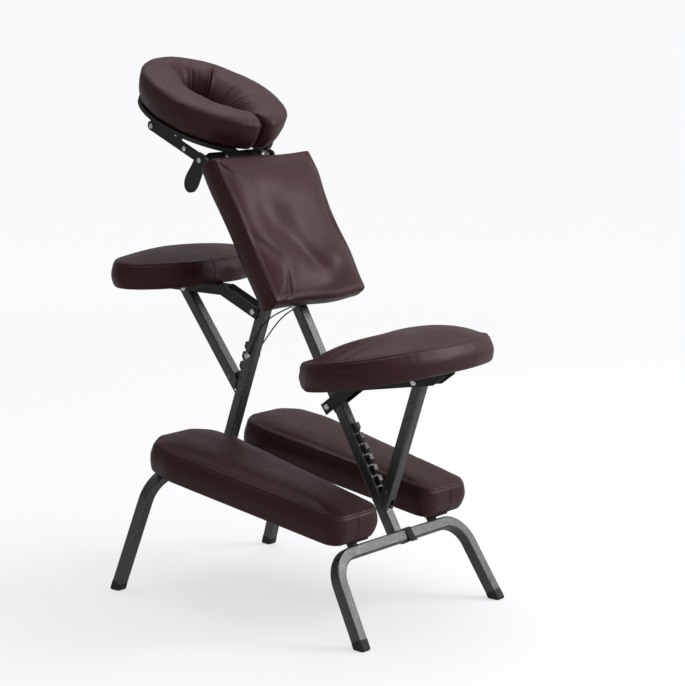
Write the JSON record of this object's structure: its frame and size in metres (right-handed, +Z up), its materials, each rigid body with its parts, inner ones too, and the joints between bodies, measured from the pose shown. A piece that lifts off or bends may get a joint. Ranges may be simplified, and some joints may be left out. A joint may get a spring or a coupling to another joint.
{
  "type": "kneeling massage chair",
  "caption": "Folding kneeling massage chair: two leaning steel frames with seat, kneelers, chest pad, armrest and tilting face cradle.",
  "frame": {"origin": "on the floor, under the middle of the chair's bounding box", "axes": "+Z up, +Y the way the sitter faces, +X the sitter's right"},
  "size_m": [0.5158, 0.8887, 1.1447],
  "materials": {
    "frame_paint": "satin",
    "bracket_paint": "satin",
    "bright_steel": "polished",
    "rack_steel": "satin",
    "black_plastic": "matte",
    "rubber": "matte",
    "webbing": "matte",
    "cable": "satin",
    "board": "matte",
    "leather": "satin"
  },
  "bodies": {
    "rear_frame": {"rear_leg_frame": "frame_paint", "main_post": "frame_paint", "rear_foot_tips": "rubber", "frame_hinge_bracket": "bracket_paint", "frame_hinge_bolt": "bright_steel", "seat_hinge_lug": "bracket_paint", "seat_rack": "rack_steel", "kneeler_hinge_lugs": "bracket_paint", "fold_strap": "webbing", "upper_cable_bolt": "bright_steel", "upper_cable_eyes": "bright_steel", "chest_pad_mount": "bracket_paint", "chest_pad_board": "board", "chest_pad_cushion": "leather", "chest_pad_screws": "bright_steel", "cradle_head": "bracket_paint", "cradle_rod": "bright_steel", "cradle_nuts": "bright_steel"},
    "front_frame": {"front_leg_frame": "frame_paint", "front_post": "frame_paint", "front_foot_tips": "rubber", "armrest_hinge_lug": "bracket_paint", "armrest_rack": "rack_steel", "front_bar_sleeves": "black_plastic", "lower_cable_bolt": "bright_steel", "lower_cable_eyes": "bright_steel", "stay_cable_right": "cable", "stay_cable_left": "cable"},
    "seat": {"seat_bracket": "bracket_paint", "seat_board": "board", "seat_cushion": "leather", "seat_screws": "bright_steel", "seat_hinge_bolt": "bright_steel", "seat_strut_bolt": "bright_steel"},
    "seat_strut": {"seat_strut": "frame_paint", "seat_strut_studs": "rack_steel"},
    "armrest": {"armrest_bracket": "bracket_paint", "armrest_board": "board", "armrest_cushion": "leather", "armrest_screws": "bright_steel", "armrest_hinge_bolt": "bright_steel", "armrest_strut_bolt": "bright_steel"},
    "armrest_strut": {"armrest_strut": "frame_paint", "armrest_strut_studs": "rack_steel"},
    "kneeler_right": {"kneeler_right_board": "board", "kneeler_right_cushion": "leather", "kneeler_right_hinge": "bracket_paint", "kneeler_right_hinge_pin": "bright_steel"},
    "kneeler_left": {"kneeler_left_board": "board", "kneeler_left_cushion": "leather", "kneeler_left_hinge": "bracket_paint", "kneeler_left_hinge_pin": "bright_steel"},
    "face_cradle": {"cradle_arm_right": "frame_paint", "cradle_arm_left": "frame_paint", "cradle_bolts": "bright_steel", "cradle_platform": "black_plastic", "cradle_pillow": "leather"},
    "cam_lever": {"cam_lever": "black_plastic"}
  },
  "joints": [
    {"name": "frame_fold", "type": "hinge", "parent": "rear_frame", "child": "front_frame", "pos_m": [0, 0.05695, 0.68899], "axis": [-1, 0, 0], "range_deg": [0, 35], "deforming": ["stay_cable_right", "stay_cable_left"]},
    {"name": "kneeler_right_tilt", "type": "hinge", "parent": "rear_frame", "child": "kneeler_right", "pos_m": [0.132, -0.265, 0.186], "axis": [1, 0, 0], "range_deg": [0, 10.5]},
    {"name": "kneeler_left_tilt", "type": "hinge", "parent": "rear_frame", "child": "kneeler_left", "pos_m": [-0.132, -0.265, 0.186], "axis": [1, 0, 0], "range_deg": [0, 10.5]},
    {"name": "seat_tilt", "type": "hinge", "parent": "rear_frame", "child": "seat", "pos_m": [0, -0.105, 0.423], "axis": [-1, 0, 0], "range_deg": [0, 12]},
    {"name": "seat_strut_swing", "type": "hinge", "parent": "seat", "child": "seat_strut", "pos_m": [0, -0.337, 0.503], "axis": [1, 0, 0], "range_deg": [0, 13.5]},
    {"name": "armrest_tilt", "type": "hinge", "parent": "front_frame", "child": "armrest", "pos_m": [0, 0.10505, 0.60557], "axis": [1, 0, 0], "range_deg": [0, 12]},
    {"name": "armrest_strut_swing", "type": "hinge", "parent": "armrest", "child": "armrest_strut", "pos_m": [0, 0.313, 0.6392], "axis": [-1, 0, 0], "range_deg": [0, 13.5]},
    {"name": "cradle_tilt", "type": "hinge", "parent": "rear_frame", "child": "face_cradle", "pos_m": [0, 0.162, 0.935], "axis": [-1, 0, 0], "range_deg": [0, 40]},
    {"name": "cam_lever_turn", "type": "hinge", "parent": "rear_frame", "child": "cam_lever", "pos_m": [-0.111, 0.162, 0.935], "axis": [-1, 0, 0], "range_deg": [-12, 28]}
  ],
  "couplings": [
    {"joint": "kneeler_right_tilt", "follows": "frame_fold", "ratio": 0.3},
    {"joint": "kneeler_left_tilt", "follows": "frame_fold", "ratio": 0.3},
    {"joint": "seat_strut_swing", "follows": "seat_tilt", "ratio": 1.08},
    {"joint": "armrest_strut_swing", "follows": "armrest_tilt", "ratio": 1.08}
  ]
}
